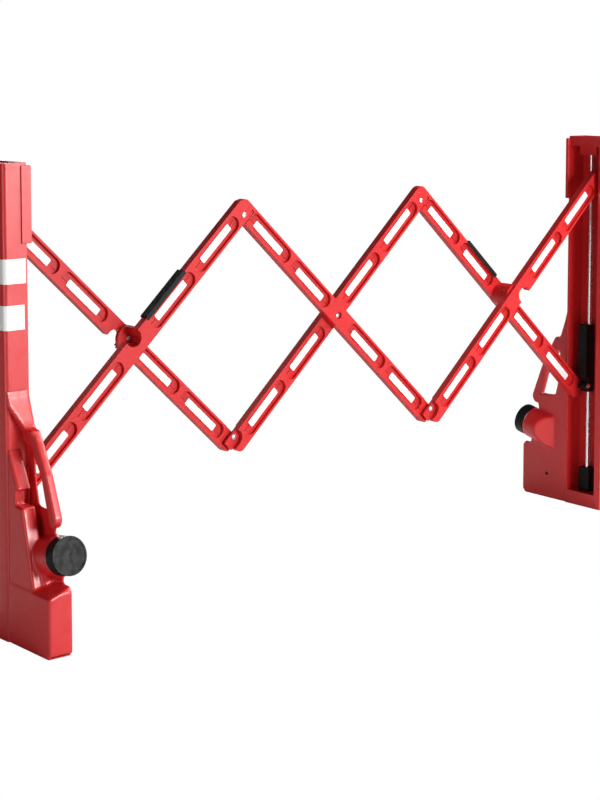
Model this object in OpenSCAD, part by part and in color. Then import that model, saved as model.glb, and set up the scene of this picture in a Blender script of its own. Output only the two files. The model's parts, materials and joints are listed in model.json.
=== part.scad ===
// Expandable barrier: two upright end units joined by a folding lattice of arms.
// Millimetres. X runs along the barrier, Y across it (front is -Y), Z is up, the floor is z = 0.
// The whole barrier is symmetric under a half turn about the Z axis.

/* [Barrier] */
// Height of an end unit, floor to lid top
unit_height = 1000; // [950:5:1050]
// How far the unit pins lie inside the opening planes
pivot_inset = 22.55; // [20:0.05:25]
// Angle of the arms to the floor, as drawn
arm_angle = 43.49; // [43.49:0.01:43.49]

/* [Arms] */
// Width of an arm's face
arm_width = 46; // [42:1:50]
// Thickness of an arm
arm_thick = 19.5; // [18:0.5:19.5]
// Clearance between neighbouring arm layers
layer_gap = 0.8; // [0.6:0.1:1.2]
// Distance along an arm from its middle pin to its end pin
pin_reach = 389.75; // [380:0.25:400]
// How far an end pin lies off the arm's centre line
pin_offset = 14; // [10:1:16]
// Extra length of the halves that reach into the end units
unit_half_extra = 23.1; // [20:0.1:26]
// How far an arm runs on past its end pin
arm_tip = 20; // [16:1:22]
// Depth of the pockets in both faces of an arm
pocket_depth = 8; // [7.5:0.25:8.5]
// Width of the rim round a pocket
pocket_rim = 5; // [4:0.5:7]

/* [Reflective strips] */
// Length of a strip
strip_length = 106; // [100:1:112]
// Width of a strip
strip_width = 17; // [15:1:20]
// Distance of the inner strip's middle from the crossing pin
inner_strip_at = 118.3; // [115:0.1:120]
// Distance of the outer strip's middle from the crossing pin
outer_strip_at = 288.6; // [286:0.1:291]

/* [Pins] */
// Radius of the pins in the lattice
lattice_pin_r = 4; // [3:0.5:5]
// Radius of the pins that hold the lattice in the end units
unit_pin_r = 5; // [4:0.5:6]
// Radial clearance of a turning fit
running_gap = 0.05; // [0.03:0.01:0.08]

/* [End units] */
// Reach of the post from the barrier's middle plane, outrigger side
post_half = 49; // [47:1:53]
// Reach of the post from the barrier's middle plane, other side
post_back = 75; // [72:1:80]
// Width of the lip on that side of the opening
post_lip = 20; // [18:1:22]
// Depth of the post along the barrier
post_depth = 55.5; // [52:0.5:60]
// Wall of the post
post_wall = 6; // [5:0.5:7]
// Reach of the outrigger from the barrier's middle plane
toe_reach = 209; // [200:1:220]
// Wall of the ballast tank
tank_wall = 4; // [3:0.5:5]
// Radius of the filler barrel
barrel_r = 42; // [38:0.5:42]
// Radius of the screw cap
cap_r = 40.5; // [40:0.1:42]
// Upward lean of the filler barrel
barrel_lean = 12; // [8:1:14]
// Radius of the guide rod
rod_r = 6; // [5:0.5:7]
// Height of a slider above its pin
slider_height = 166; // [150:1:170]
// Height at which the handle's flare runs out on the post
flare_top = 534; // [520:1:560]

/* [Hidden] */
$fn = 64;
red = [0.80, 0.05, 0.06];
black = [0.05, 0.05, 0.06];
white = [0.94, 0.94, 0.92];
steel = [0.72, 0.72, 0.74];

layer_pitch = arm_thick + layer_gap;
half_t = arm_thick / 2;
half_w = arm_width / 2;
// layer middles, front to back
layer_1 = -1.5 * layer_pitch;
layer_2 = -0.5 * layer_pitch;
layer_3 = 0.5 * layer_pitch;
layer_4 = 1.5 * layer_pitch;
// position of an end pin from its crossing pin, along X and along Z
knuckle_dx = pin_reach * cos(arm_angle) + pin_offset * sin(arm_angle);
knuckle_dz = pin_reach * sin(arm_angle) - pin_offset * cos(arm_angle);
crossing_pitch = 2 * knuckle_dx;
unit_reach = pin_reach + unit_half_extra;
unit_dx = unit_reach * cos(arm_angle) + pin_offset * sin(arm_angle);
unit_dz = unit_reach * sin(arm_angle) - pin_offset * cos(arm_angle);
// the opening planes, measured from the middle of the barrier
half_opening = crossing_pitch + unit_dx - pivot_inset;
// height of the three crossing pins, as drawn
crossing_height = unit_height - 400;
// unit pins measured from the opening plane, outward negative
pivot_x = -pivot_inset;
pivot_low = crossing_height - unit_dz;
pivot_high = crossing_height + unit_dz;
// hubs that bring the two end arms of a crossing together: a long one on the arm with the
// grip and a short one on the other, meeting this far behind or before the middle plane
joint_shift = 10;
hub_r = 29;
hub_long = 1.5 * layer_pitch - layer_gap / 2 + joint_shift;
hub_short = 1.5 * layer_pitch - layer_gap / 2 - joint_shift;
hub_web = 4.8;
pin_recess = 7;
// the cut beside a knuckle pin and the recess on the mating face
lug_cut = 11;
lug_recess = 2.5;
lug_r = 17;
strip_sink = 6.4;
strip_thick = 1;
lid_z = unit_height - 25;
channel_half = post_half - post_wall;
channel_back = post_back - post_lip;
sill = 36;
rod_x = -35;
// middle of the screw cap's face, and the front end of the barrel
barrel_x = -2;
barrel_z = 208.6;
cap_front = toe_reach - 6;
barrel_front = toe_reach - 35;
slider_top = pivot_low + slider_height;
slider_low = pivot_low - 17;

// Flat shapes in the x-z plane, given a thickness along y.
module slab_y(y0, y1) {
  translate([0, y1, 0]) rotate([90, 0, 0]) linear_extrude(y1 - y0) children();
}

// Flat shapes in the y-z plane, given a thickness along x.
module slab_x(x0, x1) {
  translate([x0, 0, 0]) rotate([90, 0, 90]) linear_extrude(x1 - x0) children();
}

// A bar from x0 to x1 of width w with rounded corners.
module bar(x0, x1, w, r) {
  translate([x0 + r, -w / 2]) square([x1 - x0 - 2 * r, w]);
  translate([x0, -w / 2 + r]) square([x1 - x0, w - 2 * r]);
  for (x = [x0 + r, x1 - r], z = [-w / 2 + r, w / 2 - r]) translate([x, z]) circle(r);
}

// A rectangle from one corner to the other.
module box2(x0, x1, z0, z1) {
  translate([x0, z0]) square([x1 - x0, z1 - z0]);
}

module disc(x, z, r) {
  translate([x, z]) circle(r);
}

// The two pockets of one half of an arm, cut from a face at depth y0 to y1.
module half_pockets(y0, y1, shift) {
  w = arm_width - 2 * pocket_rim;
  slab_y(y0, y1) {
    bar(43 + shift, 197 + shift, w, w / 2 - 0.5);
    bar(210 + shift, 366 + shift, w, w / 2 - 0.5);
  }
}

// The raised seats of the strips, and the thin ribs that run on from their ends to the
// ends of the pockets, on both faces of one half.
module half_seats(shift) {
  seat = half_t - strip_sink - strip_thick;
  rib = half_t - strip_sink;
  slab_y(-seat, seat) {
    bar(inner_strip_at - 54.5 + shift, inner_strip_at + 54.5 + shift, 20, 2);
    bar(outer_strip_at - 54.5 + shift, outer_strip_at + 54.5 + shift, 20, 2);
  }
  slab_y(-rib, rib) {
    for (x = [inner_strip_at, outer_strip_at]) {
      box2(x - 76 + shift, x - 54 + shift, -1.2, 1.2);
      box2(x + 54 + shift, x + 77 + shift, -1.2, 1.2);
    }
  }
}

// The strips of one half, both faces.
module half_strips(shift) {
  top = half_t - strip_sink;
  for (y = [-top, top - strip_thick]) slab_y(y, y + strip_thick) {
    bar(inner_strip_at - strip_length / 2 + shift, inner_strip_at + strip_length / 2 + shift, strip_width, 3);
    bar(outer_strip_at - strip_length / 2 + shift, outer_strip_at + strip_length / 2 + shift, strip_width, 3);
  }
}

module half_turn() {
  rotate([0, 180, 0]) children();
}

// What is taken away at a knuckle end: the step round the pin on the exposed face (front)
// and the shallow seat for the neighbour's lug on the mating face (back).
module knuckle_cut(bore_r) {
  slab_y(-half_t - 1, -half_t + lug_cut) {
    disc(pin_reach, -pin_offset, lug_r);
    box2(pin_reach, pin_reach + 40, -half_w - 1, 4);
    box2(pin_reach - 16, pin_reach + 1, -half_w - 1, -pin_offset);
  }
  slab_y(half_t - lug_recess, half_t + 1) box2(pin_reach - 25, pin_reach + 40, -half_w - 1, 15);
  slab_y(-half_t - 1, half_t + 1) disc(pin_reach, -pin_offset, bore_r);
}

// The flat lug that runs on past the step.
module knuckle_lug() {
  slab_y(-half_t + lug_cut, half_t - lug_recess) {
    box2(pin_reach, pin_reach + 24, -half_w, 4);
    box2(pin_reach, pin_reach + 27, -half_w + 3, 1);
    disc(pin_reach + 24, -half_w + 3, 3);
    disc(pin_reach + 24, 1, 3);
  }
}

// Middle arm, along x, its front face towards -y, end pins at (+,-) and (-,+).
module middle_arm(bore_r) {
  difference() {
    union() {
      difference() {
        slab_y(-half_t, half_t) bar(-pin_reach - arm_tip, pin_reach + arm_tip, arm_width, 15);
        for (y = [-half_t - 1, half_t - pocket_depth]) {
          half_pockets(y, y + pocket_depth + 1, 0);
          half_turn() half_pockets(y, y + pocket_depth + 1, 0);
        }
      }
      half_seats(0);
      half_turn() half_seats(0);
      knuckle_lug();
      half_turn() knuckle_lug();
    }
    knuckle_cut(bore_r);
    half_turn() knuckle_cut(bore_r);
    slab_y(-half_t - 1, half_t + 1) disc(0, 0, bore_r);
    slab_y(half_t - pin_recess, half_t + 1) disc(0, 0, 8.5);
  }
}

// End arm: its -x half is longer and reaches into an end unit. A round hub on its back
// carries the crossing pin in a thin web, and a scoop opens it from the front and one edge.
module end_arm(bore_r, hub, scoop_x) {
  difference() {
    union() {
      difference() {
        slab_y(-half_t, half_t) bar(-unit_reach - arm_tip, pin_reach + arm_tip, arm_width, 15);
        for (y = [-half_t - 1, half_t - pocket_depth]) {
          half_pockets(y, y + pocket_depth + 1, 0);
          half_turn() half_pockets(y, y + pocket_depth + 1, unit_half_extra);
        }
      }
      half_seats(0);
      half_turn() half_seats(unit_half_extra);
      knuckle_lug();
      slab_y(0, hub) circle(hub_r);
    }
    knuckle_cut(bore_r);
    slab_y(-half_t - 1, hub - hub_web) {
      disc(scoop_x, 17.5, 20);
      box2(scoop_x - 20, scoop_x + 20, 17.5, hub_r + 1);
    }
    slab_y(0, hub - hub_web) disc(0, 0, 9);
    slab_y(0, hub + 1) disc(0, 0, bore_r);
    slab_y(-half_t - 1, half_t + 1) disc(-unit_reach, pin_offset, unit_pin_r + running_gap);
  }
}

module middle_strips() {
  half_strips(0);
  half_turn() half_strips(0);
}

module end_strips() {
  half_strips(0);
  half_turn() half_strips(unit_half_extra);
}

// Clip-on hand grip over the upper edge of an end arm.
module edge_grip() {
  difference() {
    slab_y(-half_t - 2, half_t + 2) bar(45, 185, 2 * half_w + 9, 3);
    slab_y(-half_t - 3, half_t + 3) box2(40, 190, -40, half_w - 6);
    slab_y(-half_t, half_t) box2(40, 190, -40, half_w);
  }
}

// Low dome head, flat side on y = 0, facing -y.
module dome(r) {
  slab_y(-1.2, 0) circle(r + 2);
  intersection() {
    translate([0, 5.6, 0]) sphere(r + 4.7);
    slab_y(-4, 0) circle(r + 1.4);
  }
}

// Rivet along y from y0 to y1 with a dome head outside each end.
module rivet(y0, y1, r) {
  slab_y(y0, y1) circle(r);
  translate([0, y0, 0]) dome(r);
  translate([0, y1, 0]) rotate([0, 0, 180]) dome(r);
}

// Places for the arms. A rising arm leans to the right, a falling arm is its half turn.
module rising(x, y) {
  translate([x, y, crossing_height]) rotate([0, -arm_angle, 0]) children();
}

module falling(x, y) {
  translate([x, y, crossing_height]) rotate([0, arm_angle, 0]) rotate([0, 0, 180]) children();
}

// Places for the end units. Inside them y is positive towards the outrigger.
module left_unit() {
  translate([-half_opening, 0, 0]) mirror([0, 1, 0]) children();
}

module right_unit() {
  rotate([0, 0, 180]) left_unit() children();
}

module run_y(y0, y1) {
  slab_y(y0, y1) children();
}

// Footprint of the post with rounded outer corners.
module post_plan(grow) {
  r = 10 + grow;
  x0 = -post_depth - grow;
  y0 = -post_back - grow;
  y1 = post_half + grow;
  translate([x0 + r, y0]) square([-x0 - r, y1 - y0]);
  translate([x0, y0 + r]) square([-x0, y1 - y0 - 2 * r]);
  for (y = [y0 + r, y1 - r]) translate([x0 + r, y]) circle(r);
}

// Upright post: a channel open towards the lattice, with a sill at the floor.
module post() {
  difference() {
    linear_extrude(lid_z) post_plan(0);
    translate([-post_depth + post_wall, -channel_back, sill])
      cube([post_depth, channel_back + channel_half, lid_z]);
    slab_x(-post_depth - 1, -post_depth + 2.5) {
      bar_up(-13, lid_z - 116, lid_z - 10, 94);
      bar_up(-13, 190, unit_height - 402, 94);
    }
  }
}

// Upright panel with round ends, from z0 to z1.
module bar_up(y, z0, z1, w) {
  translate([y - w / 2, z0 + w / 2]) square([w, z1 - z0 - w]);
  translate([y, z0 + w / 2]) circle(w / 2);
  translate([y, z1 - w / 2]) circle(w / 2);
}

// Lid with a shallow recess and a rim.
module lid() {
  difference() {
    translate([0, 0, lid_z]) linear_extrude(unit_height - lid_z) post_plan(0);
    translate([-post_depth + 9, -post_back + 9, unit_height - 9])
      cube([post_depth - 18, post_half + post_back - 18, 10]);
  }
}

// Tab on the front of the post, hooked round the edge of the opening.
module lock_tab() {
  out = post_half + 3.4;
  translate([0, 0, unit_height - 167]) linear_extrude(161)
    polygon([[-13, post_half], [-13, out], [10, out], [10, post_half - 5], [0, post_half - 5], [0, post_half]]);
}

// Reflective tape round the three closed sides of the post.
module bands() {
  for (i = [0, 1]) translate([0, 0, unit_height - 249 - 96 * i]) difference() {
    linear_extrude(51.5) post_plan(0.4);
    translate([0, 0, -1]) linear_extrude(54) post_plan(0);
    translate([-4 - 4 * i, -post_back - 5, -1]) cube([10, post_back + post_half + 10, 54]);
  }
}

// Outline of the outrigger's foot, before it is hollowed.
module base_shape() {
  intersection() {
    slab_x(-post_depth, 0)
      polygon([
        [post_half, 0], [toe_reach - 9, 0], [toe_reach, 10], [toe_reach, 136], [toe_reach - 10, 147],
        [post_half, 147]
      ]);
    run_y(post_half, toe_reach) polygon([[-post_depth, 0], [0, 0], [0, 147], [-post_depth, 128]]);
  }
}

module base_tank() {
  difference() {
    base_shape();
    translate([-post_depth + tank_wall, post_half + tank_wall, tank_wall])
      cube([post_depth - 2 * tank_wall, toe_reach - post_half - 2 * tank_wall, 118]);
    translate([-26, toe_reach - 113, 100]) cube([22, 50, 60]);
    translate([-2.5, 55.5, 10]) cube([4, 3, 140]);
  }
}

// Place of the barrel and the cap: they lean upwards about the middle of the cap's face.
module leaning() {
  translate([0, cap_front, barrel_z]) rotate([barrel_lean, 0, 0]) translate([0, -cap_front, -barrel_z])
    children();
}

// Outside of the filler barrel and of the chute that joins it to the foot.
module neck_shape() {
  leaning() run_y(70, barrel_front) disc(barrel_x, barrel_z, barrel_r);
  translate([-30, toe_reach - 117, 128]) cube([30, 58, 62]);
}

module filler_neck() {
  difference() {
    union() {
      neck_shape();
      leaning() run_y(barrel_front - 5, toe_reach - 14) disc(barrel_x, barrel_z, 36);
    }
    leaning() run_y(76, toe_reach - 9) disc(barrel_x, barrel_z, 31);
    translate([-26, toe_reach - 113, 120]) cube([22, 50, 75]);
    base_shape();
  }
}

// Solid ballast blocks on the outer side, stepped by a groove.
module outer_tank() {
  difference() {
    union() {
      slab_x(-post_depth + 2, -31) polygon([
        [post_half, 125], [146, 125], [140, 149], [104, 296], [78, 296], [78, 330], [88, 330],
        [post_half, 410]
      ]);
      slab_x(-32, -21) {
        polygon([[post_half, 125], [146, 125], [140, 149], [104, 296], [post_half, 296]]);
        polygon([[post_half, 330], [88, 330], [post_half, 410]]);
      }
    }
    base_shape();
    neck_shape();
  }
}

// Inner face panel of the outrigger; the gap behind the handle is on its edge.
module side_panel() {
  difference() {
    slab_x(-5, 0) polygon([
      [post_half, 140], [barrel_front + 5, 140], [barrel_front + 5, 156], [barrel_front - 1, 164],
      [barrel_front - 6, 180], [152, 215], [150, 236], [154, 260], [149, 268], [146, 282],
      [131, 292], [118, 290], [90, 293], [78, 342], [75, 394], [76, 414], [post_half, 426]
    ]);
    neck_shape();
    base_shape();
    translate([-2.5, 55.5, 130]) cube([4, 3, 176]);
  }
}

// Carrying handle with the flare that joins it to the post.
module handle() {
  intersection() {
    slab_x(-post_depth, 0) polygon([
      [post_half, flare_top], [55, flare_top - 22], [60, flare_top - 37], [71, 465], [77, 452],
      [94, 450], [107, 428], [141, 367], [175, 283], [176, 274], [172, 264], [163, 258],
      [154, 260], [149, 268], [146, 282], [122, 358], [84, 414], [76, 414], [post_half, 426]
    ]);
    run_y(post_half - 1, toe_reach)
      polygon([
        [-post_depth, flare_top], [-post_depth, flare_top - 33], [-20, 440], [-20, 250], [0, 250],
        [0, flare_top]
      ]);
  }
}

module cap_seal() {
  leaning() run_y(toe_reach - 13.9, toe_reach - 11.3) difference() {
    disc(barrel_x, barrel_z, 35.9);
    disc(barrel_x, barrel_z, 30.5);
  }
}

module cap() {
  leaning() difference() {
    run_y(barrel_front + 0.3, cap_front) disc(barrel_x, barrel_z, cap_r);
    run_y(barrel_front - 1, toe_reach - 11) disc(barrel_x, barrel_z, 36.3);
    run_y(cap_front - 1.2, cap_front + 1) disc(barrel_x, barrel_z, cap_r - 4);
  }
}

module guide_rod() {
  translate([rod_x, 0, 60]) cylinder(h = lid_z - 7 - 60, r = rod_r);
}

module rod_foot() {
  difference() {
    translate([-post_depth + post_wall, -16, sill]) cube([27.5, 36, 100 - sill]);
    translate([rod_x, 0, 60]) cylinder(h = 60, r = rod_r);
  }
}

module rod_head() {
  difference() {
    translate([-post_depth + post_wall, -30, lid_z - 25]) cube([29.5, 60, 25]);
    translate([rod_x, 0, lid_z - 30]) cylinder(h = 23, r = rod_r);
  }
}

// Slider on the guide rod; the arm's pin sits in an ear near its bottom.
module slider() {
  difference() {
    union() {
      translate([-45, -9, pivot_low + 22]) cube([31, 28.9, slider_top - pivot_low - 22]);
      translate([-45, -9, slider_low]) cube([20, 28.9, slider_top - slider_low - 20]);
      run_y(-9, 19.9) disc(pivot_x, pivot_low, 9.5);
    }
    translate([rod_x, 0, slider_low - 1]) cylinder(h = slider_height + 40, r = rod_r + running_gap);
    run_y(-10, 21) disc(pivot_x, pivot_low, unit_pin_r);
  }
}

module slider_pin() {
  translate([pivot_x, 0, pivot_low]) {
    run_y(-9, 41) circle(unit_pin_r);
    run_y(-11, -9) circle(unit_pin_r + 2);
    run_y(40.6, 42) circle(unit_pin_r + 2);
  }
}

// Plate that carries the upper pin beside the arm.
module top_bracket() {
  difference() {
    union() {
      translate([-post_depth + post_wall, -19.9, pivot_high - 26]) cube([26, 7.9, 52]);
      run_y(-19.9, -12) disc(pivot_x, pivot_high, 13);
    }
    run_y(-21, -11) disc(pivot_x, pivot_high, unit_pin_r);
  }
}

module top_pin() {
  translate([pivot_x, 0, pivot_high]) {
    run_y(-channel_back, -12) circle(unit_pin_r);
    run_y(-12, -10) circle(unit_pin_r + 2);
  }
}

fit_r = lattice_pin_r;
turn_r = lattice_pin_r + running_gap;

module arm_a1() { color(red) falling(-crossing_pitch, layer_4) half_turn() end_arm(turn_r, hub_short, -20); }
module arm_b1() { color(red) rising(-crossing_pitch, layer_1) end_arm(fit_r, hub_long, -7); }
module arm_a2() { color(red) falling(0, layer_2) middle_arm(turn_r); }
module arm_b2() { color(red) rising(0, layer_3) middle_arm(fit_r); }
module arm_a3() { color(red) falling(crossing_pitch, layer_4) end_arm(turn_r, hub_long, -7); }
module arm_b3() { color(red) rising(crossing_pitch, layer_1) half_turn() end_arm(fit_r, hub_short, -20); }

module strips_a1() { color(white) falling(-crossing_pitch, layer_4) half_turn() end_strips(); }
module strips_b1() { color(white) rising(-crossing_pitch, layer_1) end_strips(); }
module strips_a2() { color(white) falling(0, layer_2) middle_strips(); }
module strips_b2() { color(white) rising(0, layer_3) middle_strips(); }
module strips_a3() { color(white) falling(crossing_pitch, layer_4) end_strips(); }
module strips_b3() { color(white) rising(crossing_pitch, layer_1) half_turn() end_strips(); }

module grip_left() { color(black) rising(-crossing_pitch, layer_1) edge_grip(); }
module grip_right() { color(black) falling(crossing_pitch, layer_4) edge_grip(); }

module crossing_pin(x, y0, y1) {
  color(steel) translate([x, 0, crossing_height]) rivet(y0, y1, lattice_pin_r);
}

hub_grip = hub_web + layer_gap / 2;

module pin_crossing_left() { crossing_pin(-crossing_pitch, joint_shift - hub_grip, joint_shift + hub_grip); }
module pin_crossing_mid() { crossing_pin(0, layer_2 - half_t + pin_recess, layer_3 + half_t - pin_recess); }
module pin_crossing_right() { crossing_pin(crossing_pitch, -joint_shift - hub_grip, -joint_shift + hub_grip); }

// A knuckle pin runs from the lug of the front arm to the lug of the arm behind it.
module knuckle_pin(x, z, y) {
  color(steel) translate([x, 0, crossing_height + z])
    rivet(y - half_t + lug_cut, y + layer_pitch + half_t - lug_cut, lattice_pin_r);
}

module pin_top_left() { knuckle_pin(-knuckle_dx, knuckle_dz, layer_1); }
module pin_bottom_left() { knuckle_pin(-knuckle_dx, -knuckle_dz, layer_3); }
module pin_top_right() { knuckle_pin(knuckle_dx, knuckle_dz, layer_3); }
module pin_bottom_right() { knuckle_pin(knuckle_dx, -knuckle_dz, layer_1); }

module left_post() { color(red) left_unit() post(); }
module left_lid() { color(red) left_unit() lid(); }
module left_lock_tab() { color(red) left_unit() lock_tab(); }
module left_bands() { color(white) left_unit() bands(); }
module left_base_tank() { color(red) left_unit() base_tank(); }
module left_filler_neck() { color(red) left_unit() filler_neck(); }
module left_outer_tank() { color(red) left_unit() outer_tank(); }
module left_side_panel() { color(red) left_unit() side_panel(); }
module left_handle() { color(red) left_unit() handle(); }
module left_cap_seal() { color(black) left_unit() cap_seal(); }
module left_cap() { color(black) left_unit() cap(); }
module left_guide_rod() { color(steel) left_unit() guide_rod(); }
module left_rod_foot() { color(black) left_unit() rod_foot(); }
module left_rod_head() { color(red) left_unit() rod_head(); }
module left_slider() { color(black) left_unit() slider(); }
module left_slider_pin() { color(steel) left_unit() slider_pin(); }
module left_top_bracket() { color(black) left_unit() top_bracket(); }
module left_top_pin() { color(steel) left_unit() top_pin(); }

module right_post() { color(red) right_unit() post(); }
module right_lid() { color(red) right_unit() lid(); }
module right_lock_tab() { color(red) right_unit() lock_tab(); }
module right_bands() { color(white) right_unit() bands(); }
module right_base_tank() { color(red) right_unit() base_tank(); }
module right_filler_neck() { color(red) right_unit() filler_neck(); }
module right_outer_tank() { color(red) right_unit() outer_tank(); }
module right_side_panel() { color(red) right_unit() side_panel(); }
module right_handle() { color(red) right_unit() handle(); }
module right_cap_seal() { color(black) right_unit() cap_seal(); }
module right_cap() { color(black) right_unit() cap(); }
module right_guide_rod() { color(steel) right_unit() guide_rod(); }
module right_rod_foot() { color(black) right_unit() rod_foot(); }
module right_rod_head() { color(red) right_unit() rod_head(); }
module right_slider() { color(black) right_unit() slider(); }
module right_slider_pin() { color(steel) right_unit() slider_pin(); }
module right_top_bracket() { color(black) right_unit() top_bracket(); }
module right_top_pin() { color(steel) right_unit() top_pin(); }

arm_a1();
arm_b1();
arm_a2();
arm_b2();
arm_a3();
arm_b3();
strips_a1();
strips_b1();
strips_a2();
strips_b2();
strips_a3();
strips_b3();
grip_left();
grip_right();
pin_crossing_left();
pin_crossing_mid();
pin_crossing_right();
pin_top_left();
pin_bottom_left();
pin_top_right();
pin_bottom_right();
left_post();
left_lid();
left_lock_tab();
left_bands();
left_base_tank();
left_filler_neck();
left_outer_tank();
left_side_panel();
left_handle();
left_cap_seal();
left_cap();
left_guide_rod();
left_rod_foot();
left_rod_head();
left_slider();
left_slider_pin();
left_top_bracket();
left_top_pin();
right_post();
right_lid();
right_lock_tab();
right_bands();
right_base_tank();
right_filler_neck();
right_outer_tank();
right_side_panel();
right_handle();
right_cap_seal();
right_cap();
right_guide_rod();
right_rod_foot();
right_rod_head();
right_slider();
right_slider_pin();
right_top_bracket();
right_top_pin();
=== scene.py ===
import json
import math

import bmesh
import bpy
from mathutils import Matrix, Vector

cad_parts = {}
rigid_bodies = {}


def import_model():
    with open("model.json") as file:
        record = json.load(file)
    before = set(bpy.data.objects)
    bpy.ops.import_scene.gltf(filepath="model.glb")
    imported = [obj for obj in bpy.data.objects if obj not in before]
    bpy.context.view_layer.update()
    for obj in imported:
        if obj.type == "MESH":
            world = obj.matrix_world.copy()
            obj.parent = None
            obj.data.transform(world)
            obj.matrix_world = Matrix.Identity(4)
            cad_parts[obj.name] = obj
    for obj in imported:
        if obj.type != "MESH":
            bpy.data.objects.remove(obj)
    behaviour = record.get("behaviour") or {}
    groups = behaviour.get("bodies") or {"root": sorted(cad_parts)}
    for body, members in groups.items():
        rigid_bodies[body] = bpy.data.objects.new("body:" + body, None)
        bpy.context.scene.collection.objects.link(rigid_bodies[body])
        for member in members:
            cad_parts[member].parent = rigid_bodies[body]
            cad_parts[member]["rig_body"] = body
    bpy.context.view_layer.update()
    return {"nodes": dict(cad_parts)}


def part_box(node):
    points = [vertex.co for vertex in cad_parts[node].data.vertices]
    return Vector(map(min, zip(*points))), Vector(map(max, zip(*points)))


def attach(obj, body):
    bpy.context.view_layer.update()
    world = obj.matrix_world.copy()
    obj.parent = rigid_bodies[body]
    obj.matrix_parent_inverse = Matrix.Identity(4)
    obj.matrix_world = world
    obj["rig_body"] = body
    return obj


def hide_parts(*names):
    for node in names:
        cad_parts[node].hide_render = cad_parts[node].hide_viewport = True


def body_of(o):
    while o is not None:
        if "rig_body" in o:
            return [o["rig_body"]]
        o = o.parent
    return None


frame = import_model()
nodes = frame["nodes"]

# Lattice arms: six bars moulded in satin red plastic that is coloured through. They have
# pockets on both faces and are riveted together in four layers. Their rims are a little
# rounded, and the pockets keep crisp floors.
arms = ("a1", "b1", "a2", "b2", "a3", "b3")
arm_round = 0.0011
weld_reach = 0.00002
sharp_angle = math.radians(32)
relief_depth = 0.0003


def finish(name, pale, deep, rough, specular, grain, relief, metal=0.0):
    """A clouded colour, an uneven gloss and a fine relief, in real sizes on the piece itself."""
    material = bpy.data.materials.new(name)
    material.use_nodes = True
    tree = material.node_tree
    skin = tree.nodes["Principled BSDF"]
    skin.inputs["Specular IOR Level"].default_value = specular
    skin.inputs["Metallic"].default_value = metal
    place = tree.nodes.new("ShaderNodeTexCoord")
    cloud = tree.nodes.new("ShaderNodeTexNoise")
    cloud.inputs["Scale"].default_value = 11
    cloud.inputs["Detail"].default_value = 5
    # A colour mix takes its share at socket 0 and its two colours at 6 and 7, and gives at 2.
    tint = tree.nodes.new("ShaderNodeMix")
    tint.data_type = "RGBA"
    tint.inputs[6].default_value = pale + (1,)
    tint.inputs[7].default_value = deep + (1,)
    rubbed = tree.nodes.new("ShaderNodeTexNoise")
    rubbed.inputs["Scale"].default_value = 70
    rubbed.inputs["Detail"].default_value = 8
    spread = tree.nodes.new("ShaderNodeMapRange")
    spread.inputs["From Min"].default_value = 0.35
    spread.inputs["From Max"].default_value = 0.65
    spread.inputs["To Min"].default_value = rough[0]
    spread.inputs["To Max"].default_value = rough[1]
    fine = tree.nodes.new("ShaderNodeTexNoise")
    fine.inputs["Scale"].default_value = grain
    bump = tree.nodes.new("ShaderNodeBump")
    bump.inputs["Strength"].default_value = relief
    bump.inputs["Distance"].default_value = relief_depth
    for noise in (cloud, rubbed, fine):
        tree.links.new(place.outputs["Object"], noise.inputs["Vector"])
    tree.links.new(cloud.outputs["Fac"], tint.inputs[0])
    tree.links.new(tint.outputs[2], skin.inputs["Base Color"])
    tree.links.new(rubbed.outputs["Fac"], spread.inputs["Value"])
    tree.links.new(spread.outputs["Result"], skin.inputs["Roughness"])
    tree.links.new(fine.outputs["Fac"], bump.inputs["Height"])
    tree.links.new(bump.outputs["Normal"], skin.inputs["Normal"])
    return material


def dress(name, material, rounding=0.0):
    """Gives a node its finish and, where a rounding is given, softens its sharp edges."""
    obj = nodes[name]
    obj.data.materials.clear()
    obj.data.materials.append(material)
    if rounding:
        weld = obj.modifiers.new("weld", "WELD")
        weld.merge_threshold = weld_reach
        bevel = obj.modifiers.new("round", "BEVEL")
        bevel.width = rounding
        bevel.segments = 3
        bevel.limit_method = "ANGLE"
        bevel.angle_limit = sharp_angle
        bevel.miter_outer = "MITER_ARC"
        even = obj.modifiers.new("even", "WEIGHTED_NORMAL")
        even.keep_sharp = True


red = finish(
    "red_plastic",
    pale=(0.60, 0.016, 0.017),
    deep=(0.55, 0.011, 0.013),
    rough=(0.36, 0.48),
    specular=0.32,
    grain=900,
    relief=0.03,
)
for arm in arms:
    dress("arm_" + arm, red, arm_round)

# Posts: each end unit has a channel post, a lid on its top, a lock tab beside the opening
# and a bracket that holds the rod. All are the same red plastic from a polished mould, so
# they are glossier than the arms.
red_gloss = finish(
    "red_plastic_gloss",
    pale=(0.66, 0.017, 0.018),
    deep=(0.60, 0.012, 0.014),
    rough=(0.28, 0.42),
    specular=0.65,
    grain=900,
    relief=0.03,
)
sides = {"left": -1, "right": 1}
post_rounds = {"post": 0.0015, "lid": 0.004, "lock_tab": 0.0015, "rod_head": 0.0015}
for side in sides:
    for part, rounding in post_rounds.items():
        dress(side + "_" + part, red_gloss, rounding)

# Feet: the foot, the blocks above it, the side panel, the handle and the filler barrel are
# one hollow moulding in the glossy red, so its edges and inner corners are all round. The
# barrel lies across the panel and runs out into it on a slant.
foot_parts = ("base_tank", "outer_tank", "side_panel", "handle", "filler_neck")
slant_start = 0.092
slant_across = 0.67
slant_along = 0.743
mouth_start = 0.130
run_end = 0.135
plug_depth = 0.010
shell_cell = 0.0025


def panel_plane(side):
    """How far the panel's face on the lattice side is from the barrier's middle, along X."""
    low_corner, high_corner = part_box(side + "_side_panel")
    return min(abs(low_corner[0]), abs(high_corner[0]))


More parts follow.
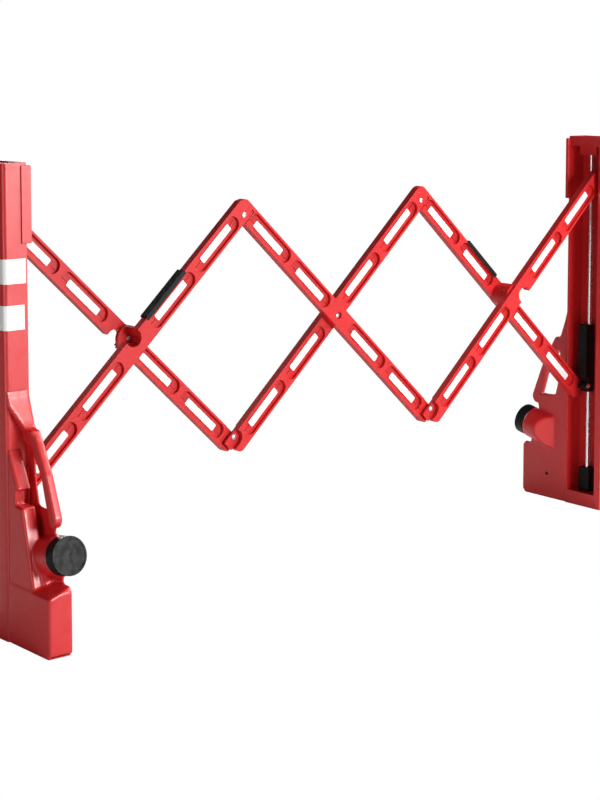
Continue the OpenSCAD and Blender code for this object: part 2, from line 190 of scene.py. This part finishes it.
def clipped(mesh, cuts):
    """A closed copy of mesh without what lies in front of the cuts, each a point and a normal."""
    copy = bmesh.new()
    copy.from_mesh(mesh)
    bmesh.ops.remove_doubles(copy, verts=copy.verts, dist=weld_reach)
    for point, normal in cuts:
        everything = list(copy.verts) + list(copy.edges) + list(copy.faces)
        bmesh.ops.bisect_plane(copy, geom=everything, plane_co=point, plane_no=normal, clear_outer=True)
        open_edges = [edge for edge in copy.edges if edge.is_boundary]
        bmesh.ops.holes_fill(copy, edges=open_edges)
    result = bpy.data.meshes.new("clipped")
    copy.to_mesh(result)
    copy.free()
    return result


def wrapped(mesh):
    """The solid that a film drawn tight round mesh would enclose."""
    tight = bmesh.new()
    for vertex in mesh.vertices:
        tight.verts.new(vertex.co)
    hull = bmesh.ops.convex_hull(tight, input=tight.verts)
    bmesh.ops.delete(tight, geom=hull["geom_interior"], context="VERTS")
    result = bpy.data.meshes.new("wrapped")
    tight.to_mesh(result)
    tight.free()
    return result


def barrel_pieces(barrel, side, turn):
    """The barrel as closed pieces: its stretch in the foot, its mouth, a plug and the slanted run."""
    wall = Vector((turn * panel_plane(side), 0, 0))
    to_lattice = Vector((-turn, 0, 0))
    ahead = Vector((0, turn, 0))
    slant = Vector((-turn * slant_across, -turn * slant_along, 0))
    inside = clipped(barrel, [(wall, to_lattice)])
    mouth = clipped(barrel, [(mouth_start * ahead, -ahead)])
    plug = wrapped(clipped(barrel, [(wall, to_lattice), (wall - plug_depth * to_lattice, -to_lattice)]))
    run = wrapped(clipped(barrel, [(wall, -to_lattice), (run_end * ahead, ahead)]))
    slanted_run = clipped(run, [(wall + slant_start * ahead, slant)])
    return [inside, mouth, plug, slanted_run]


def mould_foot(side, turn):
    """Joins the foot's parts and its barrel into one skin, and eases all edges and corners."""
    parts = [side + "_" + part for part in foot_parts]
    *whole, barrel = [nodes[part].data for part in parts]
    joined = bmesh.new()
    for mesh in whole + barrel_pieces(barrel, side, turn):
        joined.from_mesh(mesh)
    mesh = bpy.data.meshes.new(side + "_moulding")
    joined.to_mesh(mesh)
    joined.free()
    mesh.materials.append(red_gloss)
    for face in mesh.polygons:
        face.material_index = 0
    obj = bpy.data.objects.new(side + "_moulding", mesh)
    bpy.context.collection.objects.link(obj)
    shell = obj.modifiers.new("skin", "REMESH")
    shell.mode = "VOXEL"
    shell.voxel_size = shell_cell
    shell.use_smooth_shade = True
    ease = obj.modifiers.new("ease", "SMOOTH")
    ease.factor = 0.5
    ease.iterations = 14
    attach(obj, body_of(nodes[parts[0]])[0])
    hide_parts(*parts)


for side, turn in sides.items():
    mould_foot(side, turn)

# Reflective film: white strips stuck in the pockets, two in each half of an arm and on both
# faces, and two bands stuck round each post. A fine bead pattern keeps the film from
# looking like paper.
film = finish(
    "reflective_white",
    pale=(0.94, 0.94, 0.91),
    deep=(0.88, 0.88, 0.85),
    rough=(0.28, 0.42),
    specular=0.5,
    grain=1400,
    relief=0.05,
)
for arm in arms:
    dress("strips_" + arm, film)
for side in sides:
    dress(side + "_bands", film)

# Black fittings: edge grips clipped on two arms, and for each unit the carriage on the rod,
# the rod's foot block, the upper bracket and the screw cap with its sealing ring. Their
# plastic is duller than the red, with a slightly coarser grain.
black = finish(
    "black_plastic",
    pale=(0.006, 0.006, 0.007),
    deep=(0.003, 0.003, 0.004),
    rough=(0.40, 0.62),
    specular=0.2,
    grain=700,
    relief=0.10,
)
grip_round = 0.0018
fitting_rounds = {"slider": 0.002, "rod_foot": 0.0015, "top_bracket": 0.001, "cap": 0.0018, "cap_seal": 0.0}
for side in sides:
    dress("grip_" + side, black, grip_round)
    for part, rounding in fitting_rounds.items():
        dress(side + "_" + part, black, rounding)

# Panel screws: one small black screw in each foot's inner panel, below the filler barrel.
# The dished head with its socket and its rounded rim is turned from one profile of radius
# and height above the panel.
screw_along = 0.117
screw_up = 0.067
screw_steps = 28
screw_profile = (
    (0.0, 0.0004),
    (0.0018, 0.0004),
    (0.0021, 0.0016),
    (0.0036, 0.0016),
    (0.0045, 0.0009),
    (0.0047, -0.0006),
)


def screw_head(side, turn):
    """Turns the head on the panel's face, from its middle out to its rim."""
    face_plane = panel_plane(side)
    head = bmesh.new()
    rings = []
    for radius, height in screw_profile:
        count = screw_steps if radius else 1
        ring = []
        for step in range(count):
            angle = math.tau * step / count
            along = screw_along + radius * math.cos(angle)
            up = screw_up + radius * math.sin(angle)
            ring.append(head.verts.new((turn * (face_plane - height), turn * along, up)))
        rings.append(ring)
    for near, far in zip(rings, rings[1:]):
        for step in range(screw_steps):
            after = (step + 1) % screw_steps
            if len(near) == 1:
                head.faces.new((near[0], far[step], far[after]))
            else:
                head.faces.new((near[step], far[step], far[after], near[after]))
    head.faces.new(rings[-1])
    bmesh.ops.recalc_face_normals(head, faces=head.faces)
    mesh = bpy.data.meshes.new(side + "_panel_screw")
    head.to_mesh(mesh)
    head.free()
    mesh.materials.append(black)
    obj = bpy.data.objects.new(side + "_panel_screw", mesh)
    bpy.context.collection.objects.link(obj)
    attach(obj, body_of(nodes[side + "_side_panel"])[0])


for side, turn in sides.items():
    screw_head(side, turn)

# Bright metal: two drawn steel guide rods held at both ends, and zinc plated rivets and
# pivot pins. The rivets keep their turned edges, and the pins' ends are eased.
steel = finish(
    "polished_steel",
    pale=(0.86, 0.86, 0.87),
    deep=(0.74, 0.74, 0.77),
    rough=(0.14, 0.30),
    specular=0.5,
    grain=400,
    relief=0.03,
    metal=1.0,
)
zinc = finish(
    "zinc",
    pale=(0.84, 0.84, 0.84),
    deep=(0.66, 0.67, 0.70),
    rough=(0.22, 0.42),
    specular=0.5,
    grain=600,
    relief=0.05,
    metal=0.9,
)
crossings = ("crossing_left", "crossing_mid", "crossing_right")
knuckles = ("top_left", "bottom_left", "top_right", "bottom_right")
pin_round = 0.0008
for rivet in crossings + knuckles:
    dress("pin_" + rivet, zinc)
for side in sides:
    dress(side + "_guide_rod", steel)
    dress(side + "_slider_pin", zinc, pin_round)
    dress(side + "_top_pin", zinc, pin_round)

# Floor: a plain pale ground that the barrier stands on. It throws light up at the barrier,
# and the camera sees it as pure white.
floor_width = 40


def white_to_camera(tree, lit, white, surface):
    """Shows the camera the white shader, and everything else the lit one."""
    path = tree.nodes.new("ShaderNodeLightPath")
    choice = tree.nodes.new("ShaderNodeMixShader")
    tree.links.new(path.outputs["Is Camera Ray"], choice.inputs["Fac"])
    tree.links.new(lit, choice.inputs[1])
    tree.links.new(white, choice.inputs[2])
    tree.links.new(choice.outputs["Shader"], surface)


bpy.ops.mesh.primitive_plane_add(size=floor_width, location=(0, 0, 0))
floor = bpy.context.object
floor.name = "floor"
paper = bpy.data.materials.new("paper")
paper.use_nodes = True
tree = paper.node_tree
dull = tree.nodes["Principled BSDF"]
dull.inputs["Base Color"].default_value = (0.8, 0.8, 0.8, 1)
dull.inputs["Roughness"].default_value = 0.9
glow = tree.nodes.new("ShaderNodeEmission")
glow.inputs["Color"].default_value = (1, 1, 1, 1)
glow.inputs["Strength"].default_value = 1.0
surface = tree.nodes["Material Output"].inputs["Surface"]
white_to_camera(tree, dull.outputs["BSDF"], glow.outputs["Emission"], surface)
floor.data.materials.append(paper)

# Surround: dim on the barrier, so that faces turned away from the lamps stay dark, and pure
# white to the camera.
world = bpy.data.worlds.new("world")
bpy.context.scene.world = world
world.use_nodes = True
tree = world.node_tree
dim = tree.nodes["Background"]
dim.inputs["Color"].default_value = (1, 1, 1, 1)
dim.inputs["Strength"].default_value = 0.05
white = tree.nodes.new("ShaderNodeBackground")
white.inputs["Color"].default_value = (1, 1, 1, 1)
white.inputs["Strength"].default_value = 1.0
surface = tree.nodes["World Output"].inputs["Surface"]
white_to_camera(tree, dim.outputs["Background"], white.outputs["Background"], surface)

# Lamps: a soft key in front, one at the upper right for the tops, a weak one on the left and
# one behind. The sheen shows only in reflections and lays a pale gloss over the fronts of
# the end unit that is nearest to the camera.
for name, place, aim, size, power, lights_surfaces in (
    ("key", (0.6, -5.0, 1.6), (0, 0, 0.5), 1.4, 180, True),
    ("top", (2.6, -1.4, 3.0), (0, 0, 0.4), 2.0, 180, True),
    ("side", (-3.5, -1.0, 0.6), (0, 0, 0.5), 1.2, 16, True),
    ("back", (0.8, 4.8, 1.4), (0, 0, 0.5), 2.0, 110, True),
    ("sheen", (1.5, -4.6, 1.5), (-0.9, 0, 0.5), 1.4, 95, False),
):
    lamp = bpy.data.lights.new(name, "AREA")
    lamp.size = size
    lamp.energy = power
    obj = bpy.data.objects.new(name, lamp)
    obj.location = place
    obj.rotation_mode = "QUATERNION"
    obj.rotation_quaternion = (Vector(aim) - Vector(place)).to_track_quat("-Z", "Y")
    obj.visible_diffuse = lights_surfaces
    bpy.context.collection.objects.link(obj)

# Camera: from the left front, a little above the lids and looking slightly down, as solved
# from the photograph. Its picture is shifted, so that the posts stay nearly upright.
camera_place = (-2.8556, -3.3568, 1.2305)
look_down = 5.3513
look_right = 39.3427
eye = bpy.data.cameras.new("camera")
eye.lens = 83.81
eye.shift_y = -0.22
eye.clip_end = 100
camera = bpy.data.objects.new("camera", eye)
camera.location = camera_place
camera.rotation_euler = (math.radians(90 - look_down), 0, math.radians(-look_right))
bpy.context.collection.objects.link(camera)
scene = bpy.context.scene
scene.camera = camera
scene.view_settings.view_transform = "Standard"
